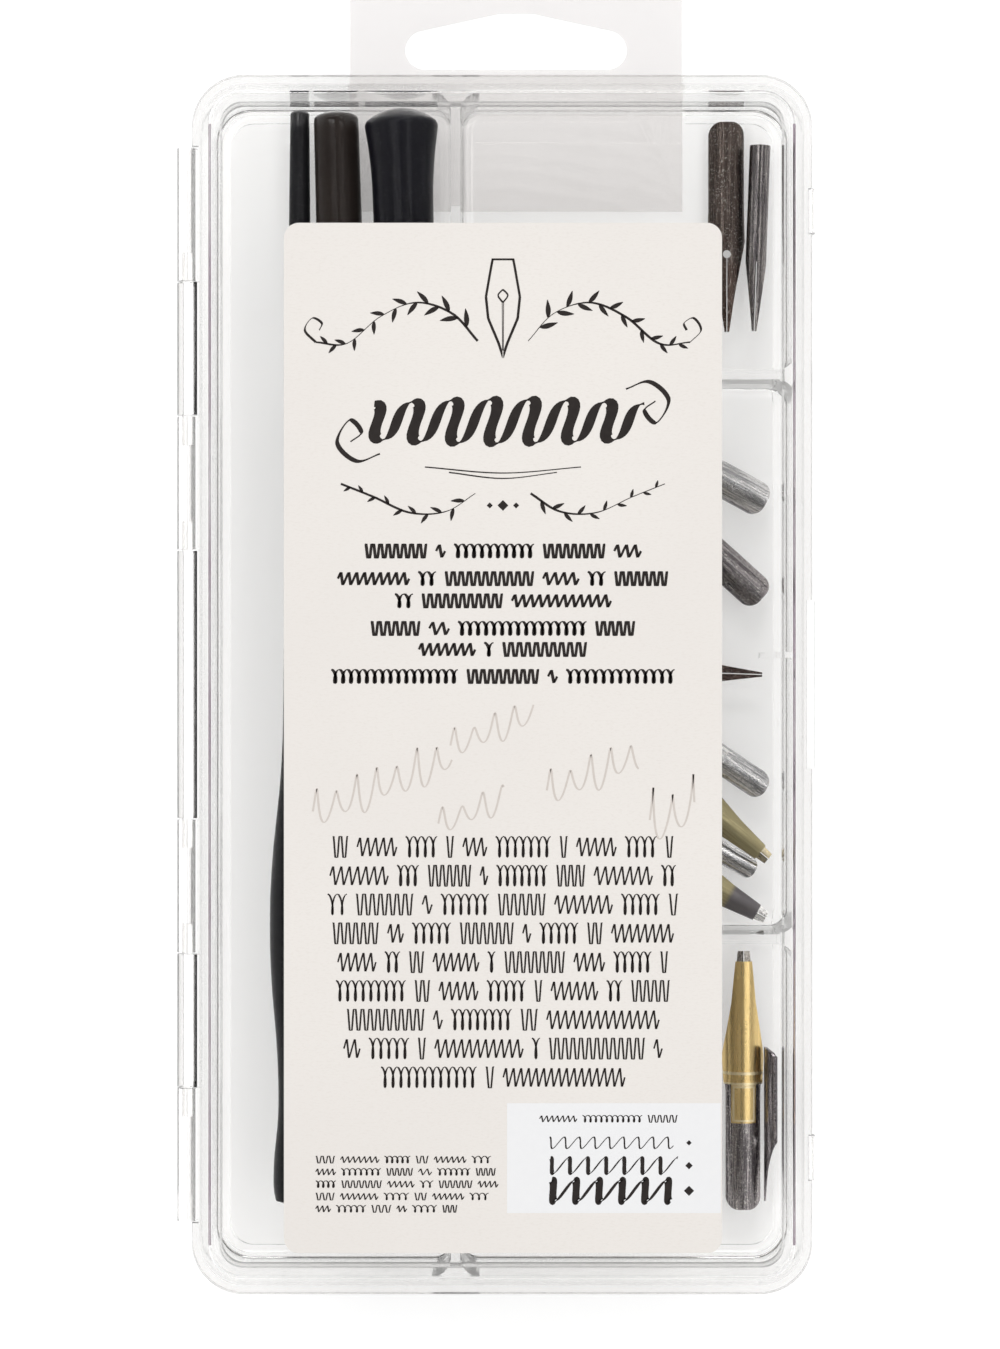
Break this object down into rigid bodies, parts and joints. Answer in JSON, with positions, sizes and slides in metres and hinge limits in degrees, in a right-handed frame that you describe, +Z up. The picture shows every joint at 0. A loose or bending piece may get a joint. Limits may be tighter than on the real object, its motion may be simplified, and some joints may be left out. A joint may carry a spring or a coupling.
{
  "type": "calligraphy set box",
  "caption": "Flat clear hinged case with divided bays, holding turned pen holders and pressed pen nibs with reservoirs, with a label on its lid and a hanging tab.",
  "frame": {"origin": "centre of the case on the face it rests on", "axes": "+Z up from the face it rests on, +Y along the case towards the hang tab, +X across the case from the hinge to the latches"},
  "size_m": [0.1072, 0.2284, 0.0241],
  "materials": {
    "clear_case": "clear moulded polystyrene, polished",
    "clear_film": "clear PVC film",
    "printed_label": "matt printed paper",
    "black_barrel": "polished black plastic",
    "brown_barrel": "polished brown-black plastic",
    "blue_black_barrel": "polished blue-black plastic",
    "bright_steel": "bright pressed sheet",
    "dark_steel": "dark tempered sheet",
    "bronze_steel": "brown tempered sheet",
    "nickel_cover": "nickel-plated sheet",
    "brass_cover": "matt brass sheet",
    "gold_cover": "gilt brass sheet"
  },
  "bodies": {
    "base": {"base_tray": "clear_case", "hang_tab": "clear_film", "broad_nib_1": "bright_steel", "broad_nib_2": "dark_steel", "broad_nib_3": "bright_steel", "broad_nib_4": "bright_steel", "broad_nib_5": "dark_steel", "broad_nib_6": "dark_steel", "reservoir_1": "nickel_cover", "reservoir_2": "nickel_cover", "reservoir_3": "nickel_cover", "reservoir_4": "brass_cover", "reservoir_5": "brass_cover", "reservoir_6": "gold_cover", "pointed_nib_1": "bronze_steel", "pointed_nib_2": "bronze_steel", "pointed_nib_3": "bright_steel", "pointed_nib_4": "dark_steel", "pointed_nib_5": "dark_steel", "crow_quill_nib": "dark_steel"},
    "lid": {"lid": "clear_case", "label": "printed_label"},
    "slim_holder": {"slim_holder": "black_barrel", "slim_holder_ferrule": "bright_steel", "slim_holder_clamp": "bright_steel"},
    "tapered_holder": {"tapered_holder": "brown_barrel", "tapered_holder_ferrule": "bright_steel", "tapered_holder_clamp": "bright_steel"},
    "flared_holder": {"flared_holder": "blue_black_barrel", "flared_holder_ferrule": "bright_steel", "flared_holder_clamp": "bright_steel"}
  },
  "joints": [
    {"name": "lid_hinge", "type": "hinge", "parent": "base", "child": "lid", "pos_m": [-0.0529, 0, 0.0195], "axis": [0, -1, 0], "range_deg": [0, 180]},
    {"name": "slim_holder_slide", "type": "slide", "parent": "base", "child": "slim_holder", "axis": [0, -1, 0], "range_m": [0, 0.009]},
    {"name": "tapered_holder_slide", "type": "slide", "parent": "base", "child": "tapered_holder", "axis": [0.0289, -0.9996, 0], "range_m": [0, 0.017]},
    {"name": "flared_holder_slide", "type": "slide", "parent": "base", "child": "flared_holder", "axis": [0.0214, -0.9998, 0], "range_m": [0, 0.019]}
  ]
}
